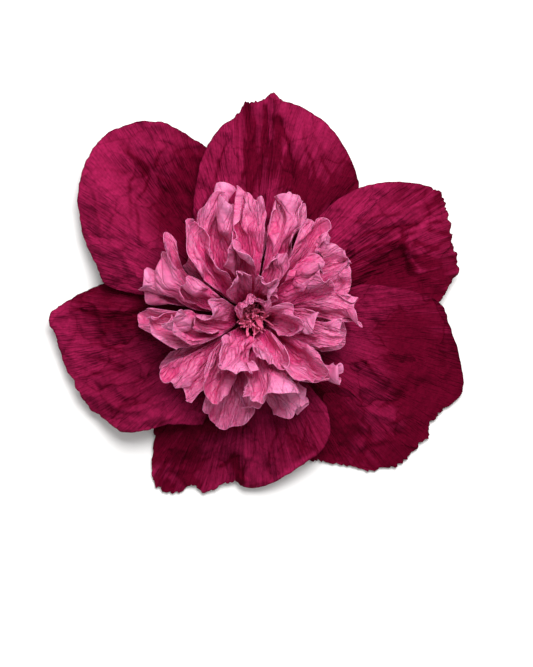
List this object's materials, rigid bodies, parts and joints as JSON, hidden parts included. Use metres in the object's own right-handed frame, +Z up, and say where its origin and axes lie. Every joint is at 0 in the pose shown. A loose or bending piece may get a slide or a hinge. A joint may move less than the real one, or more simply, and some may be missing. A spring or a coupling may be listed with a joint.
{
  "type": "paper camellia",
  "caption": "Handmade paper flower lying face up: broad crimson petals lapped in a pinwheel under a pompom of crumpled pink petals round fringed stamens, on a flat card disc.",
  "frame": {"origin": "middle of the backing disc's underside, straight below the stamens", "axes": "+Z up out of the flower's face, +Y towards the top of the picture, +X towards its right"},
  "size_m": [0.1494, 0.1446, 0.0356],
  "materials": {
    "crimson_paper": "matt handmade paper, crinkled",
    "pink_paper": "matt handmade paper, crumpled",
    "stamen_paper": "matt paper, rolled and fringed",
    "backing_card": "matt card"
  },
  "bodies": {
    "root": {"backing_disc": "backing_card", "stamen_heart": "stamen_paper", "crimson_petal_1": "crimson_paper", "crimson_petal_2": "crimson_paper", "crimson_petal_3": "crimson_paper", "crimson_petal_4": "crimson_paper", "crimson_petal_5": "crimson_paper", "crimson_petal_6": "crimson_paper", "low_petal_1": "pink_paper", "low_petal_2": "pink_paper", "low_petal_3": "pink_paper", "low_petal_4": "pink_paper", "low_petal_5": "pink_paper", "low_petal_6": "pink_paper", "low_petal_7": "pink_paper", "low_petal_8": "pink_paper", "low_petal_9": "pink_paper", "low_petal_10": "pink_paper", "spread_petal_1": "pink_paper", "spread_petal_2": "pink_paper", "spread_petal_3": "pink_paper", "spread_petal_4": "pink_paper", "spread_petal_5": "pink_paper", "spread_petal_6": "pink_paper", "spread_petal_7": "pink_paper", "spread_petal_8": "pink_paper", "spread_petal_9": "pink_paper", "spread_petal_10": "pink_paper", "spread_petal_11": "pink_paper", "upright_petal_1": "pink_paper", "upright_petal_2": "pink_paper", "upright_petal_3": "pink_paper", "upright_petal_4": "pink_paper", "upright_petal_5": "pink_paper", "upright_petal_6": "pink_paper", "upright_petal_7": "pink_paper", "upright_petal_8": "pink_paper", "upright_petal_9": "pink_paper", "upright_petal_10": "pink_paper", "heart_petal_1": "pink_paper", "heart_petal_2": "pink_paper", "heart_petal_3": "pink_paper", "heart_petal_4": "pink_paper", "heart_petal_5": "pink_paper", "heart_petal_6": "pink_paper", "hood_petal_1": "pink_paper"}
  },
  "joints": []
}
